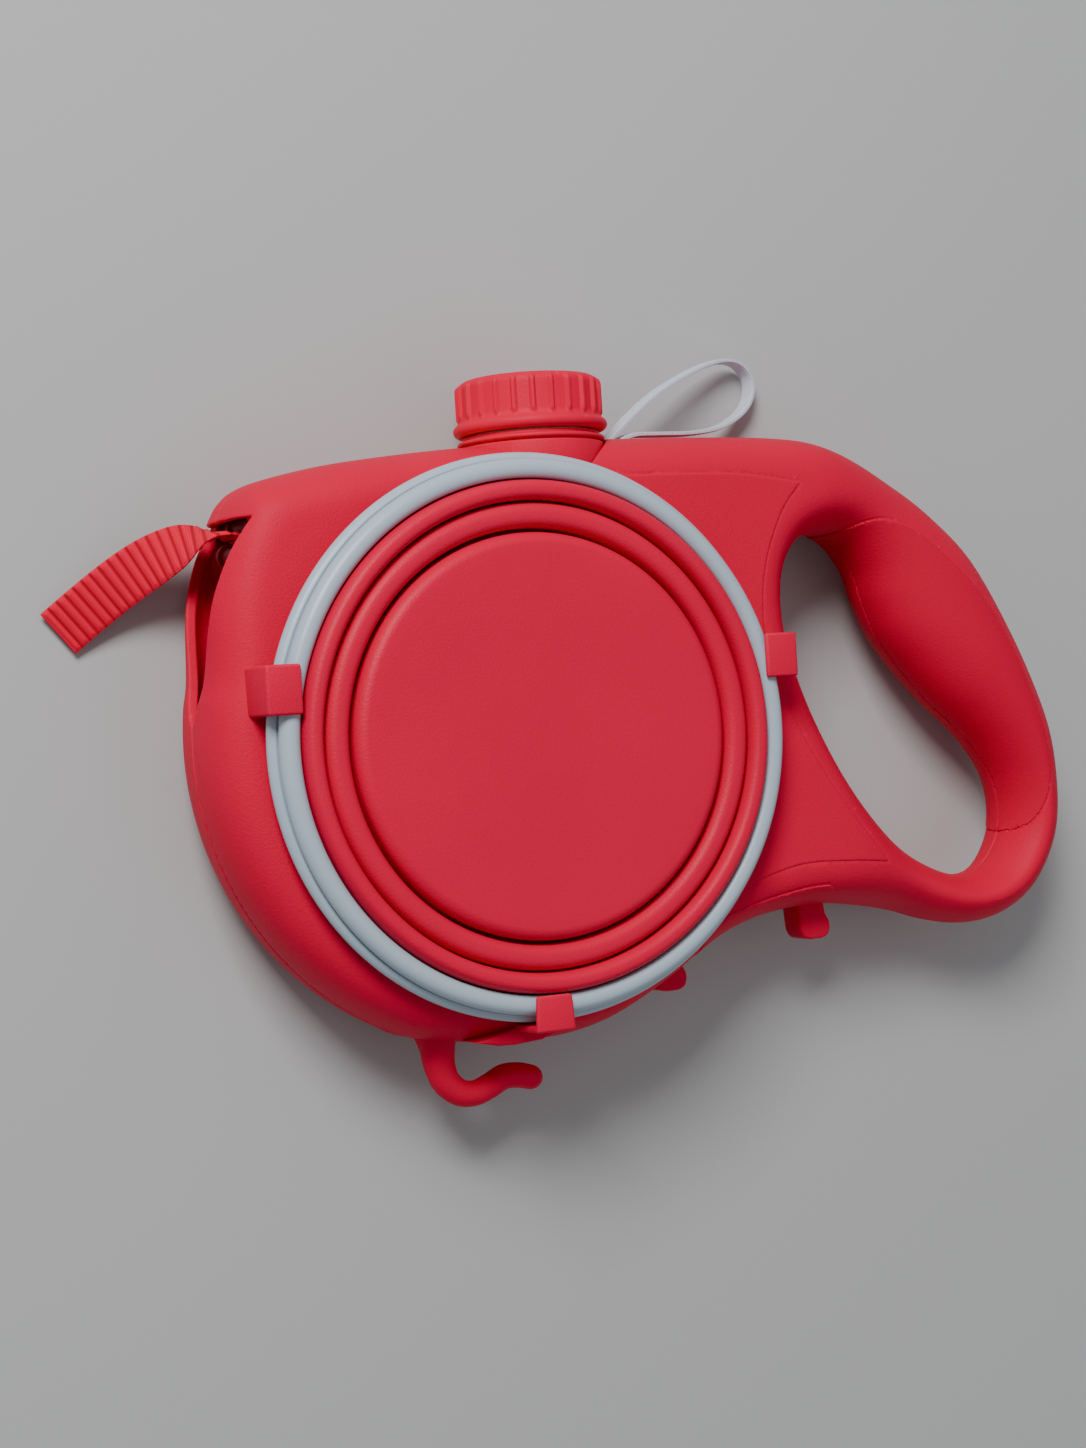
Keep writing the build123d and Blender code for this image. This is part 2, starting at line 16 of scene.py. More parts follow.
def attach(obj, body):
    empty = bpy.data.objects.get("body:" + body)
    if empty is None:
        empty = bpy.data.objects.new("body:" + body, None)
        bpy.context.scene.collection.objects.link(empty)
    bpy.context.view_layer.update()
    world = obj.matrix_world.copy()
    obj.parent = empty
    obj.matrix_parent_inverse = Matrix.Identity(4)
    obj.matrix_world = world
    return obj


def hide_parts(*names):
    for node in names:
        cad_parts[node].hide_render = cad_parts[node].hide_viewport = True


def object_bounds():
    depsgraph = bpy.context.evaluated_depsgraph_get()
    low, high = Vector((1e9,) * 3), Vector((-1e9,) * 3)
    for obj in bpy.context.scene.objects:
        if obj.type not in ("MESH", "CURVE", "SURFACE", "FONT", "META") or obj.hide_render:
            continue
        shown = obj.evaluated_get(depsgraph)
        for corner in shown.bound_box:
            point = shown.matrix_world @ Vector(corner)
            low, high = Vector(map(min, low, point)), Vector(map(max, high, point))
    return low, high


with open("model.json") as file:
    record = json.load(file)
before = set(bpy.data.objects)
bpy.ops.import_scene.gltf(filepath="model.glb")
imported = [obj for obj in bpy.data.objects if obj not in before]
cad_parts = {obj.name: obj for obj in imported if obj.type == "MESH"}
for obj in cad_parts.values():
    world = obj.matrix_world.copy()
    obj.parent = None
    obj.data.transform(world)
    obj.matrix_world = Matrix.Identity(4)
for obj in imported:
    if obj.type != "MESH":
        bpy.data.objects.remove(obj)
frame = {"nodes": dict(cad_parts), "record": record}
CAD_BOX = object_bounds()

MM = 0.001
MID = 17.5                # parting plane of the casing
WALL = 3.0
SEAT_R, SEAT_LOW, SEAT_TOP = 61.0, 33.0, 36.3
CAP_X, CAP_Z = 13.6, 18.2  # axis of the bottle's neck, which runs along Y
COLLAR_R = 17.3
CAMERA_AT = (-257.5, -0.4, 569.8)
CAMERA_AZIMUTH, CAMERA_ELEVATION = 180.68, 63.95
CAMERA_TOP = (0.0698, 0.9976, 0.0)   # the frame direction that is up in the picture
LENS, SENSOR = 64.64, 36.0
TAPE_RIB_PITCH = 2.35     # ridges of the leash tape, and the painted shade in their valleys
CHUNK = 20000             # points that are measured against an outline at a time
SMOOTH_ANGLE = 40         # edges that turn further than this, in degrees, stay sharp

SCREWS = [                # x, y, height of the head's outer face
    (-57.0, -28.0, 3.0),
    (48.0, -42.0, 3.0),
    (-52.0, 30.0, 3.0),
    (86.0, 57.0, 3.0),
    (91.0, -33.0, 3.0),
    (119.9, 29.0, 6.5),
    (148.3, -16.0, 10.0),
]

# ---------------------------------------------------------------- camera, light and floor
def add_object(name, data):
    """An object that holds the data, linked into the scene."""
    holder = bpy.data.objects.new(name, data)
    bpy.context.scene.collection.objects.link(holder)
    return holder


def make_camera():
    """The camera, turned so that its own up follows CAMERA_TOP."""
    azimuth, elevation = radians(CAMERA_AZIMUTH), radians(CAMERA_ELEVATION)
    back = Vector((cos(elevation) * cos(azimuth), cos(elevation) * sin(azimuth), sin(elevation)))
    right = Vector(CAMERA_TOP).cross(back).normalized()
    top = back.cross(right)
    data = bpy.data.cameras.new("camera")
    data.lens = LENS
    data.sensor_width = SENSOR
    camera = add_object("camera", data)
    turn = Matrix((right, top, back)).transposed().to_4x4()
    camera.matrix_world = Matrix.Translation(Vector(CAMERA_AT) * MM) @ turn
    bpy.context.scene.camera = camera


def make_light(name, at, size, power):
    """A square soft box that points at the casing."""
    data = bpy.data.lights.new(name, "AREA")
    data.size = size
    data.energy = power
    light = add_object(name, data)
    light.location = at
    aim = Vector((0.03, 0.0, 0.02)) - light.location
    light.rotation_euler = aim.to_track_quat("-Z", "Y").to_euler()


def make_sky(strength):
    """An even, slightly cool light from all around."""
    world = bpy.data.worlds.new("sky")
    world.use_nodes = True
    background = world.node_tree.nodes["Background"]
    background.inputs["Color"].default_value = (0.93, 0.96, 1.0, 1)
    background.inputs["Strength"].default_value = strength
    bpy.context.scene.world = world


# ---------------------------------------------------------------- materials
def new_material(name):
    """A node material, its nodes and its links."""
    material = bpy.data.materials.new(name)
    material.use_nodes = True
    return material, material.node_tree.nodes, material.node_tree.links


def add_node(nodes, kind, settings=(), **inputs):
    """A node with its properties and its unlinked inputs set."""
    node = nodes.new(kind)
    for key, value in dict(settings).items():
        setattr(node, key, value)
    for key, value in inputs.items():
        node.inputs[key.replace("_", " ")].default_value = value
    return node


def moulded(name, colour, worn, roughness, grain, depth, spread=0.12, specular=0.45):
    """Moulded plastic or rubber: a pebbled grain, slow shifts of tone and lighter worn edges."""
    material, nodes, links = new_material(name)
    shader = nodes["Principled BSDF"]
    shader.inputs["Specular IOR Level"].default_value = specular
    place = add_node(nodes, "ShaderNodeTexCoord")
    drift = add_node(nodes, "ShaderNodeTexNoise", Scale=28.0, Detail=3.0)
    links.new(place.outputs["Object"], drift.inputs["Vector"])
    tone = add_node(nodes, "ShaderNodeMix", {"data_type": "RGBA"})
    darker = [channel * (1 - spread) for channel in colour]
    lighter = [min(1.0, channel * (1 + spread)) for channel in colour]
    tone.inputs["A"].default_value = (*darker, 1)
    tone.inputs["B"].default_value = (*lighter, 1)
    links.new(drift.outputs["Fac"], tone.inputs["Factor"])
    shape = add_node(nodes, "ShaderNodeNewGeometry")
    edge = add_node(nodes, "ShaderNodeMapRange", From_Min=0.53, From_Max=0.62, To_Max=0.45)
    links.new(shape.outputs["Pointiness"], edge.inputs["Value"])
    wear = add_node(nodes, "ShaderNodeMix", {"data_type": "RGBA"}, B=(*worn, 1))
    links.new(edge.outputs["Result"], wear.inputs["Factor"])
    links.new(tone.outputs["Result"], wear.inputs["A"])
    links.new(wear.outputs["Result"], shader.inputs["Base Color"])
    pebbles = add_node(nodes, "ShaderNodeTexVoronoi", {"feature": "SMOOTH_F1"}, Scale=grain)
    speckle = add_node(nodes, "ShaderNodeTexNoise", Scale=grain * 1.7, Detail=4.0)
    for texture in (pebbles, speckle):
        links.new(place.outputs["Object"], texture.inputs["Vector"])
    height = add_node(nodes, "ShaderNodeMath", {"operation": "ADD"})
    links.new(pebbles.outputs["Distance"], height.inputs[0])
    links.new(speckle.outputs["Fac"], height.inputs[1])
    bump = add_node(nodes, "ShaderNodeBump", Strength=1.0, Distance=depth)
    links.new(height.outputs["Value"], bump.inputs["Height"])
    links.new(bump.outputs["Normal"], shader.inputs["Normal"])
    sheen = add_node(nodes, "ShaderNodeMapRange", To_Min=roughness - 0.06, To_Max=roughness + 0.06)
    links.new(speckle.outputs["Fac"], sheen.inputs["Value"])
    links.new(sheen.outputs["Result"], shader.inputs["Roughness"])
    return material


def brushed_metal(name, colour, roughness):
    """Plated or blued steel with fine streaks."""
    material, nodes, links = new_material(name)
    shader = nodes["Principled BSDF"]
    shader.inputs["Metallic"].default_value = 1.0
    place = add_node(nodes, "ShaderNodeTexCoord")
    stretch = add_node(nodes, "ShaderNodeMapping", Scale=(300.0, 4000.0, 300.0))
    links.new(place.outputs["Object"], stretch.inputs["Vector"])
    streaks = add_node(nodes, "ShaderNodeTexNoise", Scale=1.0, Detail=3.0)
    links.new(stretch.outputs["Vector"], streaks.inputs["Vector"])
    tone = add_node(nodes, "ShaderNodeMix", {"data_type": "RGBA"})
    tone.inputs["A"].default_value = (*[channel * 0.8 for channel in colour], 1)
    tone.inputs["B"].default_value = (*colour, 1)
    links.new(streaks.outputs["Fac"], tone.inputs["Factor"])
    links.new(tone.outputs["Result"], shader.inputs["Base Color"])
    dull = add_node(nodes, "ShaderNodeMapRange", To_Min=roughness - 0.1, To_Max=roughness + 0.1)
    links.new(streaks.outputs["Fac"], dull.inputs["Value"])
    links.new(dull.outputs["Result"], shader.inputs["Roughness"])
    return material


def woven(name, colour, shade, thread, bump_depth, slant, rib=None):
    """Woven tape: fine threads with painted shade between them and, in ribbed webbing, painted
    shade in the valleys between the ribs, from its UV in metres.

    A wave texture of scale 1 has a period of 2 pi / 20, so the threads' scale follows from that.
    """
    material, nodes, links = new_material(name)
    shader = nodes["Principled BSDF"]
    shader.inputs["Specular IOR Level"].default_value = 0.12
    shader.inputs["Roughness"].default_value = 0.7
    shader.inputs["Sheen Weight"].default_value = 0.04
    shader.inputs["Sheen Roughness"].default_value = 0.4
    place = add_node(nodes, "ShaderNodeUVMap", {"uv_map": "strip"})
    heights = []
    for angle in (slant, 90.0 - slant):
        turn = add_node(nodes, "ShaderNodeMapping", Rotation=(0.0, 0.0, radians(angle)))
        links.new(place.outputs["UV"], turn.inputs["Vector"])
        scale = 2 * pi / (20 * thread * MM)
        wave = add_node(nodes, "ShaderNodeTexWave", Scale=scale, Distortion=0.6)
        links.new(turn.outputs["Vector"], wave.inputs["Vector"])
        heights.append(wave.outputs["Fac"])
    threads = add_node(nodes, "ShaderNodeMath", {"operation": "MULTIPLY"})
    links.new(heights[0], threads.inputs[0])
    links.new(heights[1], threads.inputs[1])
    fuzz = add_node(nodes, "ShaderNodeTexNoise", Scale=2500.0, Detail=3.0)
    links.new(place.outputs["UV"], fuzz.inputs["Vector"])
    mixed = add_node(nodes, "ShaderNodeMath", {"operation": "MULTIPLY_ADD"})
    mixed.inputs[1].default_value = 0.5
    links.new(fuzz.outputs["Fac"], mixed.inputs[0])
    links.new(threads.outputs["Value"], mixed.inputs[2])
    tone = add_node(nodes, "ShaderNodeMix", {"data_type": "RGBA"}, A=(*shade, 1), B=(*colour, 1))
    light = add_node(nodes, "ShaderNodeMapRange", To_Min=0.35)
    links.new(mixed.outputs["Value"], light.inputs["Value"])
    links.new(light.outputs["Result"], tone.inputs["Factor"])
    # painted shade: the valleys between the tape's ribs are mixed towards the shaded colour
    if rib:
        apart = add_node(nodes, "ShaderNodeSeparateXYZ")
        links.new(place.outputs["UV"], apart.inputs["Vector"])
        turns = add_node(nodes, "ShaderNodeMath", {"operation": "MULTIPLY"})
        turns.inputs[1].default_value = 2 * pi / (rib * MM)
        links.new(apart.outputs["X"], turns.inputs[0])
        ridge = add_node(nodes, "ShaderNodeMath", {"operation": "COSINE"})
        links.new(turns.outputs["Value"], ridge.inputs[0])
        valley = add_node(nodes, "ShaderNodeMapRange", From_Min=-1.0, From_Max=-0.3, To_Min=0.0)
        links.new(ridge.outputs["Value"], valley.inputs["Value"])
        shaded = add_node(nodes, "ShaderNodeMath", {"operation": "MULTIPLY"})
        links.new(light.outputs["Result"], shaded.inputs[0])
        links.new(valley.outputs["Result"], shaded.inputs[1])
        links.new(shaded.outputs["Value"], tone.inputs["Factor"])
    links.new(tone.outputs["Result"], shader.inputs["Base Color"])
    bump = add_node(nodes, "ShaderNodeBump", Strength=1.0, Distance=bump_depth)
    links.new(mixed.outputs["Value"], bump.inputs["Height"])
    links.new(bump.outputs["Normal"], shader.inputs["Normal"])
    return material


def floor_material():
    """Matt pale grey."""
    material, nodes, _ = new_material("floor")
    shader = nodes["Principled BSDF"]
    shader.inputs["Roughness"].default_value = 0.85
    shader.inputs["Base Color"].default_value = (0.45, 0.45, 0.45, 1)
    return material


# colour, worn colour, roughness, pebbles per metre, relief in metres, spread of tone, specular
MOULDED = {
    "red_shell": ((0.66, 0.0, 0.038), (0.80, 0.02, 0.08), 0.52, 1900, 0.00006, 0.08, 0.12),
    "red_grip": ((0.61, 0.0, 0.034), (0.76, 0.02, 0.07), 0.60, 2200, 0.00005, 0.08, 0.10),
    "red_silicone": ((0.66, 0.0, 0.040), (0.82, 0.03, 0.10), 0.46, 1900, 0.00005, 0.08, 0.2),
    "red_cap": ((0.72, 0.0, 0.040), (0.88, 0.05, 0.11), 0.50, 2100, 0.00004, 0.08, 0.12),
    "grey_rim": ((0.40, 0.49, 0.57), (0.66, 0.74, 0.80), 0.36, 900, 0.00002, 0.05),
    "bottle_plastic": ((0.78, 0.82, 0.85), (0.9, 0.9, 0.9), 0.2, 400, 0.00002, 0.04),
    "seal_rubber": ((0.80, 0.80, 0.77), (0.9, 0.9, 0.9), 0.6, 900, 0.00003),
    "spool_plastic": ((0.05, 0.05, 0.055), (0.2, 0.2, 0.2), 0.5, 900, 0.00004),
    "liner_plastic": ((0.36, 0.006, 0.018), (0.6, 0.05, 0.08), 0.55, 1100, 0.00006),
}
# colour, roughness
METALS = {
    "screw_steel": ((0.58, 0.57, 0.55), 0.32),
    "spring_steel": ((0.33, 0.36, 0.42), 0.35),
}
# colour, shaded colour, thread, relief in metres, slant in degrees, pitch of the ribs whose valleys
# get painted shade
WOVEN = {
    "red_webbing": ((1.0, 0.0, 0.055), (0.42, 0.0, 0.012), 0.45, 0.00012, 0.0, TAPE_RIB_PITCH),
    "grey_ribbon": ((0.74, 0.80, 0.88), (0.36, 0.41, 0.49), 0.55, 0.00015, 38.0),
}
MATERIALS = {
    name: make(name, *looks)
    for make, group in ((moulded, MOULDED), (brushed_metal, METALS), (woven, WOVEN))
    for name, looks in group.items()
}


def dress_cad_nodes():
    """Every node that comes over from the CAD takes the material of its slot."""
    for part in frame["record"]["subparts"]:
        node = frame["nodes"][part["node"]]
        node.data.materials.clear()
        node.data.materials.append(MATERIALS[part["material_slot"]])


# ---------------------------------------------------------------- plane curves
def spline_through(points, steps=8, closed=False):
    """Points along a smooth curve through the given ones."""
    points = np.array(points, float)
    if closed:
        framed = np.vstack((points[-1], points, points[:2]))
    else:
        framed = np.vstack((2 * points[0] - points[1], points, 2 * points[-1] - points[-2]))
    curve = []
    for a, b, c, d in zip(framed, framed[1:], framed[2:], framed[3:]):
        for t in np.arange(steps) / steps:
            curve.append(0.5 * (2 * b + (c - a) * t + (2 * a - 5 * b + 4 * c - d) * t**2
                                + (3 * b - a - 3 * c + d) * t**3))
    if not closed:
        curve.append(points[-1])
    return np.array(curve)


def arc(centre, radius, start, end, steps=12):
    """Points of a circular arc between two angles in degrees."""
    angles = np.radians(np.linspace(start, end, steps))
    return [(centre[0] + radius * cos(a), centre[1] + radius * sin(a)) for a in angles]


def distance_inside(polygon, x, y):
    """Signed distance of points from a closed polygon, positive inside."""
    run = np.roll(polygon, -1, axis=0) - polygon
    result = np.empty(x.size)
    for part in range(0, x.size, CHUNK):
        px = x[part:part + CHUNK, None] - polygon[:, 0]
        py = y[part:part + CHUNK, None] - polygon[:, 1]
        along = np.clip((px * run[:, 0] + py * run[:, 1]) / (run**2).sum(1), 0, 1)
        gap = np.hypot(px - along * run[:, 0], py - along * run[:, 1]).min(1)
        below = py >= 0
        above = py < run[:, 1]
        left = run[:, 0] * py - run[:, 1] * px
        crossings = (below & above & (left > 0)).sum(1) - (~below & ~above & (left < 0)).sum(1)
        result[part:part + CHUNK] = np.where(crossings != 0, gap, -gap)
    return result


def distance_to(line, x, y):
    """Distance of points from an open line."""
    run = np.diff(line, axis=0)
    result = np.empty(x.size)
    for part in range(0, x.size, CHUNK):
        px = x[part:part + CHUNK, None] - line[:-1, 0]
        py = y[part:part + CHUNK, None] - line[:-1, 1]
        along = np.clip((px * run[:, 0] + py * run[:, 1]) / (run**2).sum(1), 0, 1)
        gaps = np.hypot(px - along * run[:, 0], py - along * run[:, 1])
        result[part:part + CHUNK] = gaps.min(1)
    return result


class Table:
    """A smooth function of x and y, sampled on a grid and read back with cubic weights."""

    def __init__(self, function, low, high, step):
        self.low, self.step = low, step
        xs = np.arange(low[0], high[0] + step, step)
        ys = np.arange(low[1], high[1] + step, step)
        grid_x, grid_y = np.meshgrid(xs, ys, indexing="ij")
        self.values = function(grid_x.ravel(), grid_y.ravel()).reshape(grid_x.shape)

    def at(self, x, y):
        """The function's value at each point; past the grid it stays near the edge's value."""
        spots, weights = [], []
        for value, low, count in zip((x, y), self.low, self.values.shape):
            place = np.clip((value - low) / self.step, 1, count - 3)
            cell = np.minimum(place.astype(int), count - 3)
            t = place - cell
            spots.append(cell)
            weights.append((
                0.5 * (-t + 2 * t**2 - t**3),
                0.5 * (2 - 5 * t**2 + 3 * t**3),
                0.5 * (t + 4 * t**2 - 3 * t**3),
                0.5 * (-(t**2) + t**3),
            ))
        total = 0
        for i, j in product(range(4), repeat=2):
            sample = self.values[spots[0] + i - 1, spots[1] + j - 1]
            total = total + weights[0][i] * weights[1][j] * sample
        return total


def ease(low, high, value):
    """0 below low, 1 above high, and a smooth step between."""
    t = np.clip((value - low) / (high - low), 0, 1)
    return t * t * (3 - 2 * t)


def soft_min(a, b, radius):
    """The lesser of two fields, with the edge between them rounded."""
    return np.minimum(a, b) - np.maximum(radius - np.abs(a - b), 0) ** 2 / (4 * radius)


# ---------------------------------------------------------------- outline of the casing
LEFT_ARC = arc((0.1, 2.1), 74.5, 168, 248, 17)
OUTLINE = spline_through(
    LEFT_ARC + [
        (-13, -69.6), (-1, -70.5), (11, -70), (23, -67), (37, -60.2), (50.4, -51.8), (61.6, -47.6),
        (74, -45.7), (86, -45.8), (98, -47.5), (107, -49.5), (116, -52.4), (126, -54.2),
        (136, -53.2), (144.7, -48.9), (151, -41.8), (155.2, -32.8), (156.6, -22), (155.6, -8),
        (151.6, 5), (143.9, 21.8), (133.5, 39.1), (121.4, 50.8), (109.8, 58.8), (98.7, 64.6),
        (87.8, 68.2), (77, 69.6), (60, 70), (34, 69.8), (14, 69.1), (-6, 68), (-22, 66.6),
        (-40, 64.4), (-53.6, 61.6), (-59.8, 59.6), (-62.9, 57.2), (-65, 54), (-69, 45.2),
        (-71.9, 33),
    ],
    5, True)
OPENING = spline_through(
    [
        (88.2, 46), (80.2, 43.2), (75.4, 35.2), (74.9, 23), (78.4, 9.4), (84.1, -4), (90.7, -15.2),
        (99.3, -25.6), (108.3, -33.8), (118, -39.4), (126.6, -41.8), (134.5, -40), (139.8, -33.8),
        (141.8, -26.4), (140.4, -18.4), (136, -11), (129.5, -4), (121.5, 3.2), (114.2, 11.2),
        (107.9, 19.6), (104.2, 28), (101.3, 36.8), (95.8, 44),
    ],
    6, True)


def edge_depth(x, y):
    """How deep a point lies inside the outline, free of the ridge along its middle.

    Near the edge it is the distance itself. Further in it comes from the sum of 1/distance^5
    around the whole outline, which has no crease where two edges are equally near.
    """
    near = np.minimum(distance_inside(OUTLINE, x, y), -distance_inside(OPENING, x, y))
    pull = np.zeros(x.size)
    for loop in (OUTLINE, OPENING):
        run = np.roll(loop, -1, axis=0) - loop
        for share in (0.125, 0.375, 0.625, 0.875):
            spot = loop + share * run
            length = np.hypot(*run.T) / 4
            for part in range(0, x.size, CHUNK):
                gap2 = (x[part:part + CHUNK, None] - spot[:, 0]) ** 2
                gap2 += (y[part:part + CHUNK, None] - spot[:, 1]) ** 2
                pull[part:part + CHUNK] += (length / np.maximum(gap2, 0.04) ** 2.5).sum(1)
    soft = (4 / 3 / pull) ** 0.25
    share = ease(1.5, 5.5, near)
    return np.where(near > 0, near * (1 - share) + soft * share, near)


TABLE_STEP = 0.5
DEPTH = Table(edge_depth, (-82, -80), (164, 80), TABLE_STEP)
GRIP_FROM, GRIP_FULL = 82, 112     # x where the body's section turns into the grip's
BODY_PEAK, GRIP_PEAK_LESS = 17.5, 2.1
BODY_REACH, GRIP_REACH_MORE = 11.5, 4.5
BODY_POWER, GRIP_POWER_LESS = 2.5, 0.4


def casing_depth(x, y, z):
    """Distance inside the casing's outer skin: full at the body, rounder along the grip."""
    grip = ease(GRIP_FROM, GRIP_FULL, x)
    peak = BODY_PEAK - GRIP_PEAK_LESS * grip
    reach = BODY_REACH + GRIP_REACH_MORE * grip
    power = BODY_POWER - GRIP_POWER_LESS * grip
    side = np.maximum(1 - DEPTH.at(x, y) / reach, 0)
    rise = np.abs(z - MID) / peak
    level = 1 - side**power - rise**power
    slope = power * np.hypot(side ** (power - 1) / reach, rise ** (power - 1) / peak)
    return level / np.maximum(slope, 0.02)


# ---------------------------------------------------------------- surfaces from fields
def build_surface(field, low, high, step):
    """A closed quad surface where a field that is positive inside passes through zero."""
    axes = [np.arange(a + step / 2, b + step, step) for a, b in zip(low, high)]
    grid = np.meshgrid(*axes, indexing="ij")
    values = field(*(g.ravel() for g in grid)).reshape(grid[0].shape)
    inside = values > 0
    cells = tuple(n - 1 for n in values.shape)
    corners = list(product((0, 1), repeat=3))

    def corner(array, offset):
        return array[tuple(slice(o, o + n) for o, n in zip(offset, cells))]

    filled = sum(corner(inside, c).astype(int) for c in corners)
    active = (filled > 0) & (filled < 8)
    index = np.full(cells, -1)
    index[active] = np.arange(active.sum())
    total, count = np.zeros((active.sum(), 3)), np.zeros(active.sum())
    for a, b in product(corners, repeat=2):
        if sum(b) - sum(a) == 1 and all(p <= q for p, q in zip(a, b)):
            va, vb = corner(values, a)[active], corner(values, b)[active]
            crossing = (va > 0) != (vb > 0)
            t = np.where(crossing, va / np.where(crossing, va - vb, 1), 0)
            total += crossing[:, None] * (np.array(a) + t[:, None] * (np.array(b) - np.array(a)))
            count += crossing
    points = (np.argwhere(active) + total / count[:, None]) * step + [axis[0] for axis in axes]
    quads = []
    for axis in range(3):
        others = [k for k in range(3) if k != axis]
        before = [slice(1, -1)] * 3
        after = [slice(1, -1)] * 3
        before[axis], after[axis] = slice(0, -1), slice(1, None)
        first, second = inside[tuple(before)], inside[tuple(after)]
        for rising in (False, True):
            spots = np.argwhere(~first & second if rising else first & ~second)
            spots[:, others] += 1
            ring = []
            for du, dv in ((1, 1), (0, 1), (0, 0), (1, 0)):
                cell = spots.copy()
                cell[:, others[0]] -= du
                cell[:, others[1]] -= dv
                ring.append(index[tuple(cell.T)])
            if rising != (axis == 1):
                ring.reverse()
            quads.append(np.stack(ring, axis=1))
    faces = np.vstack(quads)
    return settle(points, field), faces


def settle(points, field, rounds=3, probe=0.05):
    """Moves points along the field's slope until they lie on its surface."""
    for _ in range(rounds):
        value = field(*points.T)
        slope = np.stack([
            (field(*(points + probe * axis).T) - field(*(points - probe * axis).T)) / (2 * probe)
            for axis in np.eye(3)
        ], axis=1)
        move = value[:, None] * slope / np.maximum((slope**2).sum(1), 0.25)[:, None]
        points = points - np.clip(move, -0.5, 0.5)
    return points


def refine(piece, field, near, rounds=2):
    """Splits the faces of a piece where near holds, and settles their points on a finer field."""
    shape = bmesh.new()
    shape.from_mesh(piece.data)

    def points_and_close():
        points = np.array([vertex.co for vertex in shape.verts]) / MM
        return points, near(*points.T)

    for _ in range(rounds):
        _, close = points_and_close()
        shape.verts.index_update()
        edges = [edge for edge in shape.edges if all(close[vertex.index] for vertex in edge.verts)]
        bmesh.ops.subdivide_edges(shape, edges=edges, cuts=1, use_grid_fill=True)
    points, close = points_and_close()
    points[close] = settle(points[close], field, 4)
    for vertex, point, moved in zip(shape.verts, points, close):
        if moved:
            vertex.co = point * MM
    bmesh.ops.triangulate(shape, faces=[face for face in shape.faces if len(face.verts) > 4])
    shape.to_mesh(piece.data)
    shape.free()
    smooth(piece.data, SMOOTH_ANGLE)


def smooth(mesh, sharp):
    """Smooth shading, except at edges past the sharp angle."""
    mesh.shade_smooth()
    mesh.set_sharp_from_angle(angle=radians(sharp))


def make_mesh(name, points, faces, sharp=SMOOTH_ANGLE):
    """A mesh object from points in millimetres, smooth except at edges past the sharp angle."""
    mesh = bpy.data.meshes.new(name)
    mesh.from_pydata((np.asarray(points) * MM).tolist(), [], [list(map(int, f)) for f in faces])
    mesh.validate()
    smooth(mesh, sharp)
    return add_object(name, mesh)


def finish_piece(piece, body, slot, *nodes):
    """Material, body and the CAD nodes that a finished piece stands for."""
    piece.data.materials.clear()
    piece.data.materials.append(MATERIALS[slot])
    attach(piece, body)
    if nodes:
        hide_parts(*nodes)
    return piece


def box_field(low, high):
    """Distance inside a box."""
    def field(*place):
        sides = zip(place, low, high)
        return np.minimum.reduce([gap for value, a, b in sides for gap in (value - a, b - value)])
    return field


# the tape slot as seen from the left: y and its half width there, cut as far in as SLOT_DEPTH_X
SLOT_SIDE = [(8.0, 1.6), (15.0, 4.6), (33.0, 8.5), (43.0, 11.2), (52.0, 13.8)]
SLOT = np.array([(7.2, 0.0)] + SLOT_SIDE + [(y, -half) for y, half in reversed(SLOT_SIDE)])
SLOT_DEPTH_X = -62.0
WINDOW = box_field((68.0, 19.7, 10.5), (82.0, 32.3, 16.9))
LANYARD_POCKET = box_field((32.6, 67.6, 14.6), (39.0, 71.5, 20.4))
SLOT_TABLE = Table(lambda y, z: distance_inside(SLOT, y, z), (0, -16), (60, 16), TABLE_STEP)
COLLAR_CUT_R, COLLAR_CUT_FROM = COLLAR_R + 0.1, 61.0
SCREW_CUT_R, SCREW_SINK, BOSS_R = 3.0, 1.7, 4.6
CUT_ROUNDING, SEAM_ROUNDING, SEAM_GAP = 0.8, 0.5, 0.04


def casing_cuts(x, y, z):
    """Distance inside the openings of the casing: slot, collar, trigger window, pocket, screws."""
    slot = np.minimum(SLOT_TABLE.at(y, z - MID), SLOT_DEPTH_X - x)
    collar = np.minimum(COLLAR_CUT_R - np.hypot(x - CAP_X, z - CAP_Z), y - COLLAR_CUT_FROM)
    cuts = [slot, collar, WINDOW(x, y, z), LANYARD_POCKET(x, y, z)]
    for sx, sy, head in SCREWS:
        cuts.append(np.minimum(SCREW_CUT_R - np.hypot(x - sx, y - sy), head + SCREW_SINK - z))
    return np.maximum.reduce(cuts)


def casing_field(x, y, z):
    """The hollow casing, both halves, with its bosses, its bowl seat and its openings."""
    depth = casing_depth(x, y, z)
    solid = np.minimum(depth, WALL - depth)
    for sx, sy, _ in SCREWS:
        solid = np.maximum(solid, np.minimum(depth, BOSS_R - np.hypot(x - sx, y - sy)))
    seat = np.minimum.reduce([SEAT_R - np.hypot(x, y), SEAT_TOP - z, z - SEAT_LOW])
    return soft_min(np.maximum(solid, seat), -casing_cuts(x, y, z), CUT_ROUNDING)


# plan outlines of the pads, the saddle-shaped panel and the lower trim
PAD_EDGE = [
    (88, 43.4), (92.3, 45.4), (97, 47.6), (103, 48.2), (111.4, 45.4), (121, 38.3), (131.4, 28.3),
    (140.5, 14), (147.3, -4), (149.3, -16), (147.4, -25), (143.2, -30.8), (135.8, -33),
]
PAD_INSIDE = [(131, -33.6), (128, -28), (112, -8), (96, 22), (88, 38)]
PAD = np.vstack((spline_through(PAD_EDGE, 6), PAD_INSIDE))
PANEL_TOP = [(16, 59.4), (45, 60), (61, 59.6), (77.2, 57.4)]
PANEL_WAIST = [
    (77.2, 57.4), (70.9, 49.5), (65.6, 36.3), (64.5, 21.5), (68, 7.4), (80.3, -15), (96.9, -36.1),
]
PANEL_LOW = [(96.9, -36.1), (84.6, -35), (70, -34.9), (54.7, -39.1), (44, -45)]
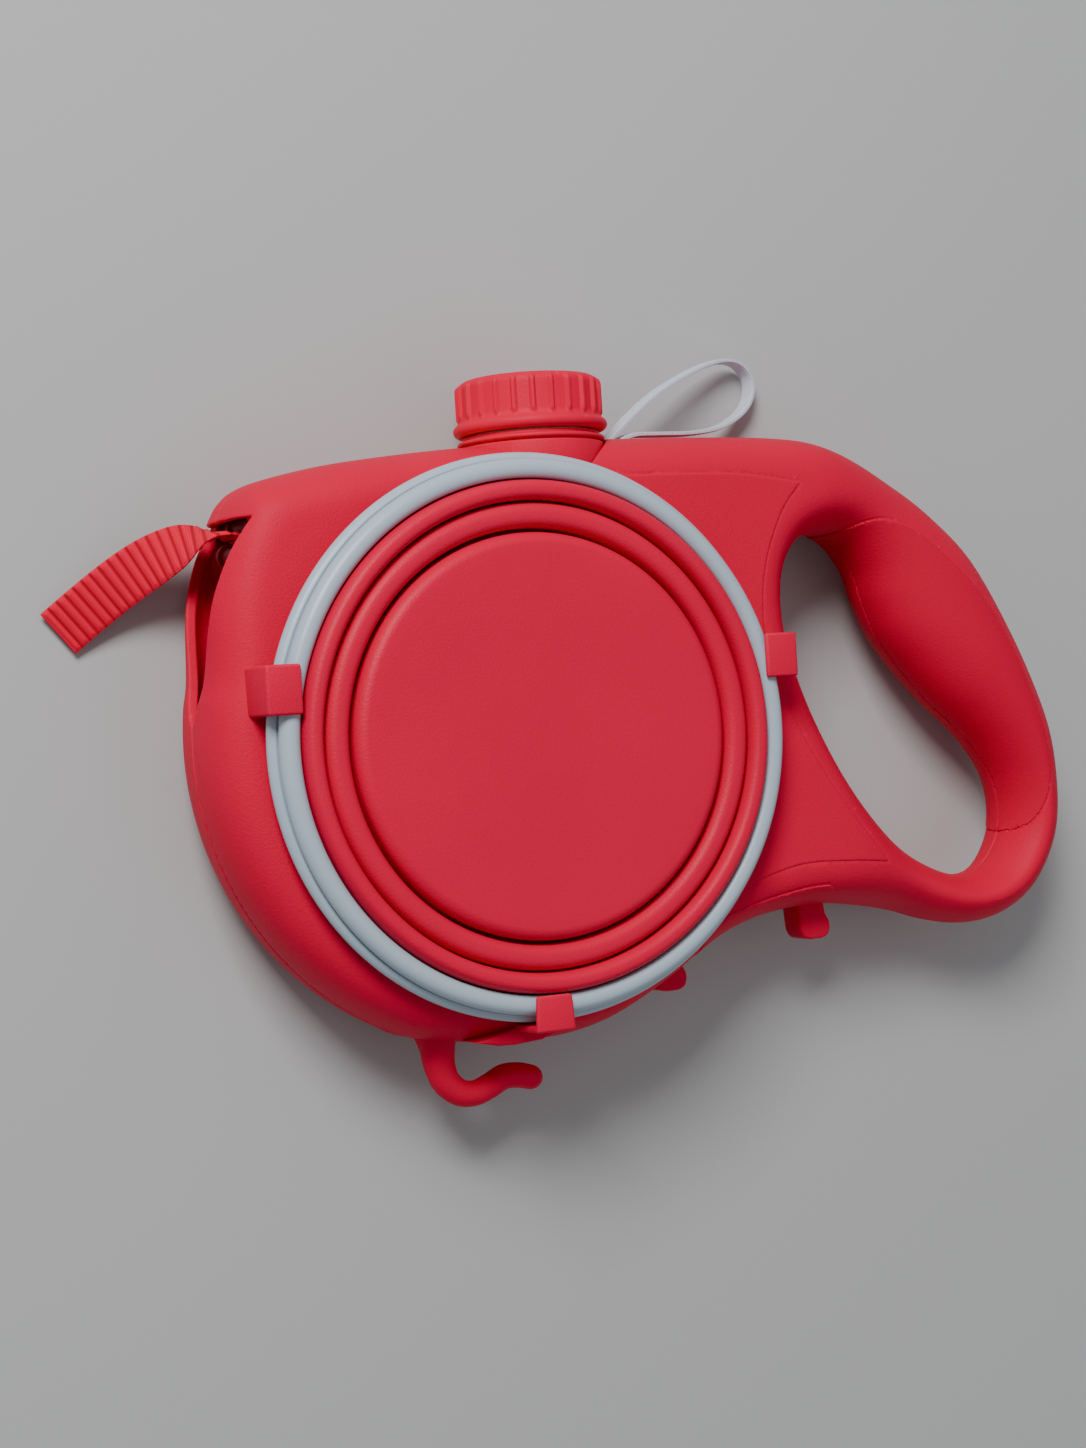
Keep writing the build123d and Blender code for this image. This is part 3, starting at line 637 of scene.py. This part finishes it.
PANEL = np.vstack((
    spline_through(PANEL_TOP, 6)[:-1], spline_through(PANEL_WAIST, 6)[:-1],
    spline_through(PANEL_LOW, 6), arc((0, 0), 60.5, -46, 74, 24),
))
TRIM_LINE = [
    (44, -49.5), (50, -45.2), (56, -43.5), (62, -42.2), (68, -41.1), (74, -40.3), (79, -40.1),
]
TRIM_LOW = [(80.8, -41), (81.6, -44), (81.6, -52), (44, -66)]
TRIM = np.vstack((spline_through(TRIM_LINE, 5), TRIM_LOW))

GROOVES = {
    "casing_front": [
        spline_through(line, 6) for line in (PANEL_TOP, PANEL_WAIST, PANEL_LOW, TRIM_LINE, PAD_EDGE)
    ],
    "casing_back": [spline_through(PAD_EDGE, 6)],
}
GROOVE_HALF, GROOVE_DEEP, GROOVE_ROUNDING = 0.34, 0.75, 0.12
CASING_STEP = 1.0
# how far finer faces reach from the seam, from the openings' rims and from the grooves' lines
SEAM_BAND, RIM_BAND, LINE_BAND = 1.0, 1.4, 1.3
RIM_DEPTH, LINE_DEPTH, OVER_SKIN = 3.6, 1.2, 1.0
SLOT_END_X, COLLAR_SIDE_Y = -58, 60      # only the rims beyond these are refined


def make_casing():
    """Both halves, with finer faces at the seam, the rims of the openings and the grooves."""
    for name, node, side, low_z, high_z in (
        ("casing_front", "front_shell", 1, MID - 2, 38.0),
        ("casing_back", "back_shell", -1, -3.0, MID + 2),
    ):
        def half(x, y, z, side=side):
            return soft_min(casing_field(x, y, z), side * (z - MID) - SEAM_GAP, SEAM_ROUNDING)

        def off_line(x, y, name=name):
            return np.minimum.reduce([distance_to(line, x, y) for line in GROOVES[name]])

        def grooved(x, y, z):
            groove = np.minimum(GROOVE_HALF - off_line(x, y), GROOVE_DEEP - casing_depth(x, y, z))
            return soft_min(half(x, y, z), -groove, GROOVE_ROUNDING)

        def near(x, y, z):
            depth = casing_depth(x, y, z)
            rim = np.abs(casing_cuts(x, y, z)) < RIM_BAND
            rim &= (x < SLOT_END_X) | (y > COLLAR_SIDE_Y)
            edge = (np.abs(z - MID) < SEAM_BAND) | rim
            line = (off_line(x, y) < LINE_BAND) & (np.hypot(x, y) > SEAT_R)
            fine = edge & (depth < RIM_DEPTH) | line & (depth < LINE_DEPTH)
            return fine & (depth > -OVER_SKIN)

        surface = build_surface(half, (-77, -74, low_z), (160, 73, high_z), CASING_STEP)
        piece = make_mesh(name, *surface)
        refine(piece, grooved, near)
        finish_piece(piece, "casing", "red_shell", node)


# ---------------------------------------------------------------- pads, panel and trim
PLATE_STOUT, PLATE_INSET, PLATE_ROUNDING = 1.4, 0.1, 0.5
PLATE_EDGE_BAND, PLATE_SEAM_BAND = 1.1, 0.9
PAD_PROUD, PAD_STEP = 0.3, 0.75
PLATE_PROUD, PLATE_STEP = 0.22, 0.6


def raised_plate(name, region, proud, box_low, box_high, step, side=None):
    """A plate that follows the casing's skin inside a plan outline and stands a little proud."""
    table = Table(lambda x, y: distance_inside(region, x, y), box_low[:2], box_high[:2], TABLE_STEP)

    def field(x, y, z):
        depth = casing_depth(x, y, z)
        plate = soft_min(depth + proud, table.at(x, y) - PLATE_INSET, PLATE_ROUNDING)
        plate = np.minimum(plate, PLATE_STOUT - depth)
        if side:
            plate = np.minimum(plate, side * (z - MID))
        return plate

    def near(x, y, z):
        edge = np.abs(table.at(x, y)) < PLATE_EDGE_BAND
        seam = np.abs(z - MID) < PLATE_SEAM_BAND
        return (edge | seam) & (casing_depth(x, y, z) < LINE_DEPTH)

    piece = make_mesh(name, *build_surface(field, box_low, box_high, step))
    refine(piece, field, near, 1)
    return piece


def make_pads():
    """The soft overmould on the finger side of the grip, front and back."""
    for name, node, side, low_z, high_z in (
        ("grip_front", "grip_pad_front", 1, MID - 1.5, 36.0),
        ("grip_back", "grip_pad_back", -1, -1.5, MID + 1.5),
    ):
        box = (84, -38, low_z), (154, 52, high_z)
        piece = raised_plate(name, PAD, PAD_PROUD, *box, PAD_STEP, side)
        finish_piece(piece, "casing", "red_grip", node)


def make_panel_and_trim():
    """The saddle-shaped panel beside the bowl and the thin trim on the lower edge."""
    box = (14, -50, 28.0), (100, 64, 37.0)
    panel = raised_plate("saddle_panel", PANEL, PLATE_PROUD, *box, PLATE_STEP)
    finish_piece(panel, "casing", "red_shell", "side_panel")
    box = (40, -68, 18.5), (85, -37, 37.0)
    trim = raised_plate("lower_trim", TRIM, PLATE_PROUD, *box, PLATE_STEP)
    finish_piece(trim, "casing", "red_shell")


# ---------------------------------------------------------------- turned parts
def turned_faces(segments, rows):
    """Quads of a closed section of so many points, repeated around a full turn."""
    faces = []
    for k in range(segments):
        this, following = k * rows, (k + 1) % segments * rows
        for i in range(rows):
            j = (i + 1) % rows
            faces.append((this + i, following + i, following + j, this + j))
    return faces


def lathe(name, profile, place, segments=180):
    """A closed ring or cup turned from (radius, height) points; place turns it into x, y, z."""
    points = []
    for k in range(segments):
        angle = 2 * pi * k / segments
        points += [place(r * cos(angle), r * sin(angle), h) for r, h in profile]
    piece = make_mesh(name, points, turned_faces(segments, len(profile)))
    weld(piece)
    return piece


def weld(piece, gap=0.01):
    """Joins the points that meet on an axis, and turns every face outwards."""
    shape = bmesh.new()
    shape.from_mesh(piece.data)
    bmesh.ops.remove_doubles(shape, verts=shape.verts, dist=gap * MM)
    bmesh.ops.dissolve_degenerate(shape, edges=shape.edges, dist=gap * MM)
    bmesh.ops.recalc_face_normals(shape, faces=shape.faces)
    shape.to_mesh(piece.data)
    shape.free()


def upright(x, y, h):
    """Turned around the bowl's axis."""
    return x, y, h


def on_neck(x, z, y):
    """Turned around the axis of the bottle's neck."""
    return CAP_X + x, y, CAP_Z - z


RIM_LOW = 36.8
BOWL_SEGMENTS = 240
FOLD_CREST = 3.4          # height of a fold's rounded crest
BASE_TOP, BASE_R, BASE_SKIN, BASE_SHOULDER = 45.5, 46.1, 2.9, 2.9


def chamfered_foot(inner, outer, size=0.4):
    """The lower end of a ring's section, from its inside to its outside."""
    return [(inner, RIM_LOW + size), (inner + size, RIM_LOW), (outer - size, RIM_LOW),
            (outer, RIM_LOW + size)]


def make_bowl():
    """The grey rim of two beads, two folds and the base, all one inside the other."""
    rim = (
        [(58.4, RIM_LOW), (62.4, RIM_LOW)]
        + arc((62.75, 38.75), 1.9, -80, 78, 16)
        + [(62.5, 40.3)]
        + arc((60.55, 41.95), 2.4, -28, 152, 20)
        + [(58.4, 42.0)]
    )
    piece = lathe("bowl_bead_rim", rim, upright, BOWL_SEGMENTS)
    finish_piece(piece, "bowl_rim", "grey_rim", "bowl_rim")
    for name, body, node, inner, outer, top in (
        ("bowl_outer_fold", "fold_outer", "bowl_fold_outer", 53.3, 58.0, 45.9),
        ("bowl_inner_fold", "fold_inner", "bowl_fold_inner", 47.0, 52.9, 44.9),
    ):
        middle, half = (inner + outer) / 2, (outer - inner) / 2
        crest = [(middle + half * np.sign(cos(a)) * abs(cos(a)) ** 0.8,
                  top - FOLD_CREST + FOLD_CREST * sin(a) ** 0.9)
                 for a in np.linspace(0, pi, 22)]
        piece = lathe(name, crest + chamfered_foot(inner, outer), upright, BOWL_SEGMENTS)
        finish_piece(piece, body, "red_silicone", node)
    face = [(0.0, BASE_TOP - 0.25)]
    face += [(r, BASE_TOP - 0.25 + 0.25 * (r / 42) ** 2) for r in np.linspace(4, 41, 10)]
    shoulder = arc((BASE_R - BASE_SHOULDER, BASE_TOP - BASE_SHOULDER), BASE_SHOULDER, 88, 0, 12)
    hollow_r = BASE_R - BASE_SKIN
    ceiling = BASE_TOP - BASE_SKIN - 0.3
    inside = [(BASE_R, RIM_LOW + 0.4), (BASE_R - 0.4, RIM_LOW), (hollow_r, RIM_LOW),
              (hollow_r, BASE_TOP - 4.2), (hollow_r - 1.2, ceiling), (0.0, ceiling)]
    piece = lathe("bowl_base_disc", face + shoulder + inside, upright, BOWL_SEGMENTS)
    finish_piece(piece, "bowl_base", "red_silicone", "bowl_base")


CAP_R, CAP_FLANGE_R, CAP_TOP, CAP_LOW = 17.4, 18.15, 84.3, 71.0
CAP_BORE_R, CAP_BORE_TOP, CAP_ROUNDING = 15.1, 83.2, 2.2
CAP_RIBS, POINTS_PER_RIB, RIB_LOW, RIB_RISE = 24, 16, 74.6, 0.75


def make_cap():
    """The ribbed screw cap: ribs are soft ridges that fade out at the top edge and the flange."""
    body_r = CAP_R - RIB_RISE
    outside = [(0.0, CAP_TOP), (6.0, CAP_TOP), (12.0, CAP_TOP)]
    outside += arc((body_r - CAP_ROUNDING, CAP_TOP - CAP_ROUNDING), CAP_ROUNDING, 90, 0, 12)
    outside += [(body_r, y) for y in np.linspace(CAP_TOP - 3.0, RIB_LOW + 0.6, 12)]
    outside += [(body_r + 0.15, RIB_LOW + 0.2)]
    outside += arc((CAP_FLANGE_R - 1.35, CAP_LOW + 1.7), 1.45, 75, -85, 16)
    bore = [(CAP_BORE_R, CAP_LOW + 0.25), (CAP_BORE_R, CAP_BORE_TOP), (0.0, CAP_BORE_TOP)]
    profile = np.array(outside + bore)
    radii, heights = profile.T
    fade = ease(CAP_TOP - 0.25, CAP_TOP - 1.7, heights)
    fade = fade * ease(RIB_LOW - 0.2, RIB_LOW + 0.9, heights)
    fade = fade * (np.arange(len(profile)) < len(outside)) * ease(body_r - 3.0, body_r - 1.2, radii)
    segments = CAP_RIBS * POINTS_PER_RIB
    points = []
    for k in range(segments):
        angle = 2 * pi * k / segments
        phase = (k % POINTS_PER_RIB) / POINTS_PER_RIB
        ridge = ease(0.30, 0.44, phase) * ease(0.70, 0.56, phase)
        for (r, y), f in zip(profile, fade):
            radius = r + RIB_RISE * ridge * f
            points.append(on_neck(radius * cos(angle), radius * sin(angle), y))
    faces = turned_faces(segments, len(profile))
    cap = make_mesh("screw_cap", points, faces, 50)
    weld(cap)
    finish_piece(cap, "cap", "red_cap", "cap")


def make_collar():
    """The neck's collar: a wide band, a groove, and a thin ring under the cap."""
    bore = 14.3
    profile = [(bore, 62.2), (17.0, 62.2), (17.15, 62.6), (17.15, 68.0)]
    profile += arc((16.75, 68.0), 0.4, 0, 90, 5)
    profile += [(16.3, 68.45), (16.3, 68.85)]
    profile += arc((16.9, 69.4), 0.55, -90, 90, 9)
    profile += [(16.2, 70.25), (16.1, 70.85), (bore, 70.85)]
    collar = lathe("bottle_collar", profile, on_neck)
    finish_piece(collar, "casing", "red_cap", "neck_collar")


# ---------------------------------------------------------------- clips, pegs and hook
def prism(name, outline, place, depth, rounding, segments=3):
    """An outline pushed along its normal and rounded at every edge."""
    shape = bmesh.new()
    near = [shape.verts.new(Vector(place(u, v, 0)) * MM) for u, v in outline]
    far = [shape.verts.new(Vector(place(u, v, depth)) * MM) for u, v in outline]
    shape.faces.new(near)
    shape.faces.new(list(reversed(far)))
    for i in range(len(outline)):
        j = (i + 1) % len(outline)
        shape.faces.new((near[j], near[i], far[i], far[j]))
    bmesh.ops.recalc_face_normals(shape, faces=shape.faces)
    mesh = bpy.data.meshes.new(name)
    shape.to_mesh(mesh)
    shape.free()
    piece = add_object(name, mesh)
    bevel = piece.modifiers.new("rounding", "BEVEL")
    bevel.width = rounding * MM
    bevel.segments = segments
    bevel.limit_method = "ANGLE"
    bevel.angle_limit = radians(20)
    bake_modifiers(piece)
    smooth(piece.data, 50)
    return piece


def bake_modifiers(piece):
    """Replaces a piece's mesh with what its modifiers make of it."""
    seen = bpy.context.evaluated_depsgraph_get()
    mesh = bpy.data.meshes.new_from_object(piece.evaluated_get(seen))
    piece.modifiers.clear()
    piece.data = mesh


CLIP_LIP, CLIP_UNDER, CLIP_TOP = 58.1, 44.45, 46.0
CLIP_IN, CLIP_OUT, CLIP_FOOT = 65.0, 66.5, 31.5
CLIP_ROUNDING = 0.85
LOWER_CLIP_X, LOWER_CLIP_WIDE = -2.6, 9.6


def clip_outline():
    """A clip's section in distance from the bowl's axis and height."""
    return [
        (CLIP_OUT + 0.5, CLIP_FOOT), (CLIP_OUT + 0.2, 36.0), (CLIP_OUT - 0.1, CLIP_TOP),
        (CLIP_LIP, CLIP_TOP - 0.15), (CLIP_LIP, CLIP_UNDER),
        (CLIP_IN, CLIP_UNDER), (CLIP_IN, CLIP_FOOT),
    ]


def lower_place(u, v, w):
    """The lower clip's section in the model: its lip narrows towards the bowl."""
    spread = 0.5 * ease(59.0, 67.0, u) + 4.4
    return LOWER_CLIP_X + (w / LOWER_CLIP_WIDE - 0.5) * 2 * spread, -u, v


def make_clips():
    """The three clips over the bowl's rim, and the foot that the lower one stands on."""
    clips = (
        ("rim_clip_right", "clip_right", lambda u, v, w: (u, 10.4 + w, v), 10.4),
        ("rim_clip_left", "clip_left", lambda u, v, w: (-u, 7.8 + w, v), 11.0),
        ("rim_clip_lower", "clip_bottom", lower_place, LOWER_CLIP_WIDE),
    )
    for name, node, place, width in clips:
        piece = prism(name, clip_outline(), place, width, CLIP_ROUNDING)
        finish_piece(piece, "casing", "red_shell", node)
    foot = [(-17.6, -68.3), (-12.0, -69.5), (-7.6, -69.7), (-0.8, -69.2), (3.4, -67.8),
            (3.0, -65.6), (-7.8, -65.6), (-10.2, -66.6)]
    piece = prism("rim_clip_lower_foot", foot, lambda u, v, w: (u, v, 24.0 + w), 10.5, 0.7)
    finish_piece(piece, "casing", "red_shell")


def make_pegs():
    """The two small pegs on the lower edge, each with a toe that points right."""
    for name, node, x, low, root in (
        ("edge_peg_outer", "peg_outer", 84.7, -54.2, -44.5),
        ("edge_peg_inner", "peg_inner", 43.5, -63.0, -53.5),
    ):
        outline = [(x - 7.8, root), (x - 7.2, low + 2.4), (x - 6.2, low + 0.5), (x - 4.4, low),
                   (x - 0.8, low), (x + 0.8, low + 0.7), (x + 1.5, low + 2.4), (x + 1.4, low + 4.2),
                   (x + 0.3, low + 6.0), (x - 0.2, root)]
        piece = prism(name, outline, lambda u, v, w: (u, v, MID - 4 + w), 8.0, 1.3, 4)
        finish_piece(piece, "casing", "red_shell", node)


def unit(rows):
    """Each row scaled to a length of one."""
    return rows / np.linalg.norm(rows, axis=1)[:, None]


def loft_faces(rings, around):
    """Quads between closed rings of so many points, and a face at each end."""
    faces = []
    for i in range(rings - 1):
        for k in range(around):
            a, b = i * around + k, i * around + (k + 1) % around
            faces.append((a, b, b + around, a + around))
    faces.append(tuple(range(around))[::-1])
    faces.append(tuple(range((rings - 1) * around, rings * around)))
    return faces


def tube(name, points, radii, steps=10, around=28):
    """A round bar of changing radius along a smooth path, with domed ends."""
    path = spline_through([(*p, r) for p, r in zip(points, radii)], steps)
    centre, radius = path[:, :3], path[:, 3]
    along = unit(np.gradient(centre, axis=0))
    side = unit(np.cross(along, (0, 0, 1)))
    lift = np.cross(side, along)
    rings = [(centre[i], side[i], lift[i], radius[i]) for i in range(len(path))]
    for end, way in ((0, -1), (-1, 1)):
        dome = []
        for a in np.linspace(0, pi / 2, 7)[1:]:
            spot = centre[end] + way * along[end] * radius[end] * sin(a)
            dome.append((spot, side[end], lift[end], max(radius[end] * cos(a), 0.02)))
        rings = dome[::-1] + rings if end == 0 else rings + dome
    skin = []
    for c, s, t, r in rings:
        skin += [c + r * (s * cos(a) + t * sin(a)) for a in np.arange(around) * 2 * pi / around]
    piece = make_mesh(name, skin, loft_faces(len(rings), around), 60)
    weld(piece)
    return piece


HOOK = [  # x, y, radius of the bar
    (-20.6, -62.0, 6.6), (-20.2, -66.5, 5.4), (-19.9, -70.5, 4.2), (-19.6, -74.5, 3.7),
    (-18.2, -78.4, 3.4), (-15.0, -81.2, 3.2), (-11.2, -81.8, 3.0), (-7.4, -80.6, 3.0),
    (-3.6, -78.9, 3.0), (0.2, -78.9, 3.0), (3.4, -79.7, 2.9),
]


def make_hook():
    """The open hook on the lower edge, which lies in the parting plane."""
    piece = tube("bag_hook_bar", [(x, y, MID) for x, y, _ in HOOK], [r for _, _, r in HOOK])
    finish_piece(piece, "casing", "red_shell", "bag_hook")


# ---------------------------------------------------------------- strap and lanyard
def smooth_route(points):
    """Points along a smooth curve that has the route's points as its controls, in millimetres."""
    curve = bpy.data.curves.new("route", "CURVE")
    curve.dimensions = "3D"
    curve.resolution_u = 40
    line = curve.splines.new("NURBS")
    line.points.add(len(points) - 1)
    for control, point in zip(line.points, points):
        control.co = (*point, 1.0)
    line.order_u = 3
    line.use_endpoint_u = True
    holder = add_object("route", curve)
    bpy.context.view_layer.update()
    mesh = bpy.data.meshes.new_from_object(holder)
    path = np.array([tuple(v.co) for v in mesh.vertices])
    bpy.data.objects.remove(holder)
    bpy.data.meshes.remove(mesh)
    return path


def evenly(path, gap):
    """The same path with points an even distance apart."""
    length = np.concatenate(([0], np.cumsum(np.linalg.norm(np.diff(path, axis=0), axis=1))))
    spots = np.linspace(0, length[-1], int(length[-1] / gap) + 1)
    return np.stack([np.interp(spots, length, path[:, k]) for k in range(3)], axis=1), spots


def strip(name, path, spots, width_way, half_width, half_height, across):
    """A flat band along a path with UVs in metres.

    half_height gives half its thickness at a length, a place across and a face, 1 or -1.
    """
    along = unit(np.gradient(path, axis=0))
    width_way = unit(width_way - (width_way * along).sum(1)[:, None] * along)
    normal = np.cross(along, width_way)
    places = half_width * np.sin(np.linspace(-pi / 2, pi / 2, across))
    ring = [(w, 1) for w in places] + [(w, -1) for w in places[::-1]]
    points, texture = [], []
    for p, s, u, n in zip(path, spots, width_way, normal):
        for w, face in ring:
            points.append(p + u * w + n * face * half_height(s, w, face))
            texture.append((s * MM, w * MM))
    piece = make_mesh(name, points, loft_faces(len(path), len(ring)), 55)
    layer = piece.data.uv_layers.new(name="strip")
    for loop in piece.data.loops:
        layer.data[loop.index].uv = texture[loop.vertex_index]
    return piece


TAPE_ROUTE = [  # x, y, z and how far the width has turned from upright, in degrees
    (6.1, 24.1, 17.5, 0),
    (-30.0, 37.4, 17.5, 0),
    (-61.5, 49.1, 17.5, 0),
    (-67.5, 49.7, 16.8, 10),
    (-73.0, 47.7, 13.9, 48),
    (-80.5, 43.5, 8.9, 75),
    (-89.5, 37.0, 4.2, 87),
    (-98.6, 29.4, 1.4, 90),
]
TAPE_HALF_W, TAPE_HALF_T = 5.9, 0.62
TAPE_VALLEY, TAPE_RIDGE, TAPE_SELVAGE = TAPE_HALF_T - 0.34, 0.50, 0.12
TAPE_GAP, LANYARD_GAP = 0.18, 0.2
TURN_SPREAD = 20          # points on each side over which the tape's twist is evened out


def make_tape():
    """Ribbed webbing: ridges across it, a flat selvage along each side and a heat-cut end."""
    *route, turns = zip(*TAPE_ROUTE)
    path, spots = evenly(smooth_route(list(zip(*route))), TAPE_GAP)
    turn = np.radians(np.interp(-path[:, 0], [-x for x in route[0]], turns))
    kernel = np.hanning(2 * TURN_SPREAD + 1)
    turn = np.convolve(np.pad(turn, TURN_SPREAD, mode="edge"), kernel / kernel.sum(), "valid")
    along = unit(np.gradient(path, axis=0))
    level = unit(np.cross((0, 0, 1), along))
    up = np.cross(along, level)
    width_way = up * np.cos(turn)[:, None] + level * np.sin(turn)[:, None]
    length = spots[-1]

    def half_height(s, w, _):
        edge = abs(w) / TAPE_HALF_W
        ribbed = 1 - ease(0.86, 0.95, edge)
        ridge = 0.5 + 0.5 * cos(2 * pi * (s + 0.15 * sin(3.1 * w)) / TAPE_RIB_PITCH)
        flat_end = ease(length - 0.9, length - 0.3, s)
        height = TAPE_VALLEY + TAPE_RIDGE * (ridge ** 0.7) * ribbed * (1 - flat_end)
        height += TAPE_SELVAGE * (1 - ribbed)
        return float(height * (1 - max(edge - 0.9, 0) ** 2 * 60))

    piece = strip("strap", path, spots, width_way, TAPE_HALF_W, half_height, 19)
    finish_piece(piece, "tape", "red_webbing", "leash_tape")


LANYARD_FROM_X, LANYARD_SLOPE = 34.0, 16.8
LANYARD_HALF_W, LANYARD_HALF_T = 2.0, 0.62
LANYARD = [  # distance along the loop's sloping plane, and y
    (-0.4, 69.3),
    (11.5, 78.9),
    (26.0, 86.2),
    (38.5, 90.9),
    (47.5, 91.4),
    (52.6, 86.6),
    (50.5, 79.8),
    (41.0, 74.4),
    (30.0, 72.4),
    (16.0, 71.8),
    (6.0, 71.3),
    (1.6, 68.6),
]


def make_lanyard():
    """The woven ribbon loop, which stands on edge in a plane that dips to the right."""
    dip = radians(LANYARD_SLOPE)
    route = [(LANYARD_FROM_X + u * cos(dip), v, MID - u * sin(dip)) for u, v in LANYARD]
    path, spots = evenly(smooth_route(route), LANYARD_GAP)
    width_way = np.tile((sin(dip), 0.0, cos(dip)), (len(path), 1))

    def half_height(s, w, face):
        edge = abs(w) / LANYARD_HALF_W
        braid = 0.05 * cos(2 * pi * s / 0.9 + face * w * 1.6)
        return float((LANYARD_HALF_T - 0.06 + braid) * (1 - 2.2 * max(edge - 0.55, 0) ** 2))

    piece = strip("wrist_loop", path, spots, width_way, LANYARD_HALF_W, half_height, 11)
    finish_piece(piece, "casing", "grey_ribbon", "lanyard_loop")


# ---------------------------------------------------------------- the scene
def make_floor():
    """A plain floor just under the object."""
    bpy.ops.mesh.primitive_plane_add(size=6.0, location=(0.0, 0.0, CAD_BOX[0][2] - 0.0001))
    floor = bpy.context.object
    floor.name = "floor"
    floor.data.materials.append(floor_material())


make_camera()
make_light("key", (-0.50, 0.74, 0.84), 0.45, 16.5)
make_light("fill", (0.7, -0.4, 0.9), 0.9, 1.2)
make_sky(0.31)
dress_cad_nodes()
make_tape()
make_lanyard()
make_casing()
make_pads()
make_panel_and_trim()
make_bowl()
make_cap()
make_collar()
make_clips()
make_pegs()
make_hook()
make_floor()
